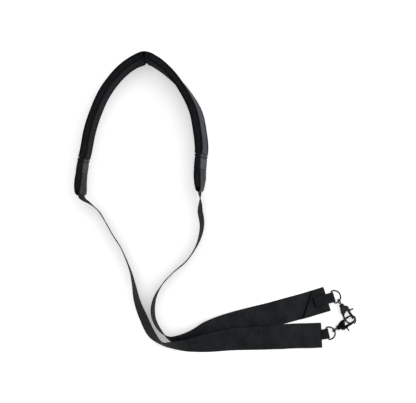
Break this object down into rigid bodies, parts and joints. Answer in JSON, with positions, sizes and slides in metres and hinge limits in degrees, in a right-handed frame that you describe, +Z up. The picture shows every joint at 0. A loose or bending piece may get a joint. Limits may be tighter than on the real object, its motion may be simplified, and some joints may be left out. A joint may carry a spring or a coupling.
{
  "type": "camera neck strap",
  "caption": "Black camera neck strap with a padded neck band, webbing straps twisting to lie flat, and swivel claw hooks linked end to end.",
  "frame": {"origin": "middle of the bounding box, on the surface the strap lies on", "axes": "+Z up from that surface; +Y from the hooks' end towards the top of the pad's arch; +X towards the hooks"},
  "size_m": [0.428, 0.4601, 0.05],
  "materials": {
    "boxing_cloth": "dull black cloth over foam",
    "facing_cloth": "smooth black facing cloth with a faint sheen",
    "binding_tape": "folded black tape, stitched",
    "leather": "black smooth leather with stitched seams",
    "webbing": "black woven webbing, slight sheen",
    "narrow_tape": "black narrow tape",
    "black_steel": "black plated, semi-gloss"
  },
  "bodies": {
    "strap": {"pad_core": "boxing_cloth", "pad_face_inner": "facing_cloth", "pad_face_outer": "facing_cloth", "binding_inner_bottom": "binding_tape", "binding_inner_top": "binding_tape", "binding_outer_bottom": "binding_tape", "binding_outer_top": "binding_tape", "end_tab_left_inner": "leather", "end_tab_left_outer": "leather", "end_tab_right_inner": "leather", "end_tab_right_outer": "leather", "webbing_left": "webbing", "webbing_right": "webbing", "loop_upper": "narrow_tape", "loop_lower": "narrow_tape", "d_ring_upper": "black_steel", "d_ring_lower": "black_steel", "swivel_eye_upper": "black_steel", "swivel_eye_lower": "black_steel", "hook_body_upper": "black_steel", "hook_body_lower": "black_steel", "rivet_upper": "black_steel", "rivet_lower": "black_steel"},
    "gate_upper": {"gate_upper": "black_steel"},
    "gate_lower": {"gate_lower": "black_steel"}
  },
  "joints": [
    {"name": "gate_upper_hinge", "type": "hinge", "parent": "strap", "child": "gate_upper", "pos_m": [0.1996, -0.15898, 0.00477], "axis": [0.3149, 0.2035, 0.927], "range_deg": [-6, 0], "stiffness_Nm_per_rad": 0.01},
    {"name": "gate_lower_hinge", "type": "hinge", "parent": "strap", "child": "gate_lower", "pos_m": [0.19435, -0.18902, 0.01026], "axis": [-0.485, 0.3647, 0.7948], "range_deg": [0, 12], "stiffness_Nm_per_rad": 0.01}
  ]
}
